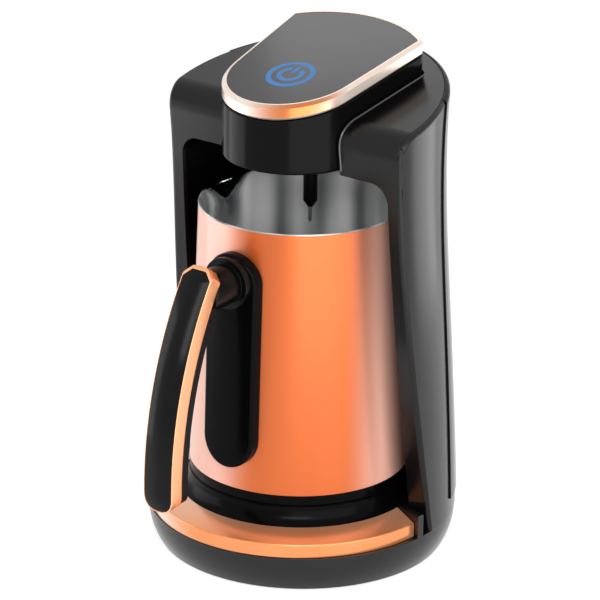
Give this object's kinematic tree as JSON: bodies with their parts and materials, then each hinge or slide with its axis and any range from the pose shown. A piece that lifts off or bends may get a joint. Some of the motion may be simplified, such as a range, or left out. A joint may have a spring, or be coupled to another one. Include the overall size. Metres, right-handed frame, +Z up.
{
  "type": "electric turkish coffee maker",
  "caption": "Black hooded stand with a copper-trimmed head and base, holding a tall spouted copper pot with a bent handle that plugs in at the back and draws out forwards.",
  "frame": {"origin": "on the axis of the round base, in the plane its feet stand on", "axes": "+Z up, -Y out of the machine's front, the way the pot is drawn; the pot's spout points to -X"},
  "size_m": [0.145, 0.1813, 0.2429],
  "materials": {
    "gloss_black": "gloss",
    "satin_black": "satin",
    "panel_black": "gloss",
    "copper": "polished",
    "steel": "brushed",
    "screw_steel": "polished",
    "core_steel": "satin",
    "can_aluminium": "satin",
    "contact_brass": "satin",
    "board_green": "satin",
    "relay_blue": "gloss",
    "light_white": "gloss",
    "rubber": "matte"
  },
  "bodies": {
    "housing": {"body_shell": "gloss_black", "front_frame": "gloss_black", "rear_cover": "satin_black", "niche_liner": "gloss_black", "base_trim": "copper", "plinth": "satin_black", "end_ridges": "satin_black", "bottom_plate": "satin_black", "rubber_feet": "rubber", "base_screws": "screw_steel", "power_board": "board_green", "transformer": "core_steel", "relay": "relay_blue", "capacitors": "can_aluminium", "cord_gland": "rubber", "socket_block": "satin_black", "socket_contacts": "contact_brass", "head_shell": "gloss_black", "head_band": "copper", "touch_panel": "panel_black", "touch_board": "board_green", "light_guide": "light_white", "pivot_pin": "screw_steel"},
    "pot": {"pot_sleeve": "copper", "vessel": "steel", "pot_collar": "satin_black", "plug_pins": "contact_brass", "pot_base_cover": "satin_black", "pot_cover_screws": "screw_steel", "heater_plate": "can_aluminium", "heating_element": "core_steel", "thermostat": "contact_brass", "handle_mount": "satin_black", "handle_core": "satin_black", "handle_trim": "copper", "handle_grip": "gloss_black", "handle_stud": "screw_steel"},
    "sensor": {"sensor_arm": "satin_black", "sensor_tip": "screw_steel"}
  },
  "joints": [
    {"name": "pot_slide", "type": "slide", "parent": "housing", "child": "pot", "axis": [0, -1, 0], "range_m": [0, 0.08]},
    {"name": "sensor_swing", "type": "hinge", "parent": "housing", "child": "sensor", "pos_m": [0, 0.007, 0.197], "axis": [-1, 0, 0], "range_deg": [0, 60]}
  ],
  "couplings": [
    {"joint": "sensor_swing", "follows": "pot_slide", "rad_per_m": 13.09}
  ]
}
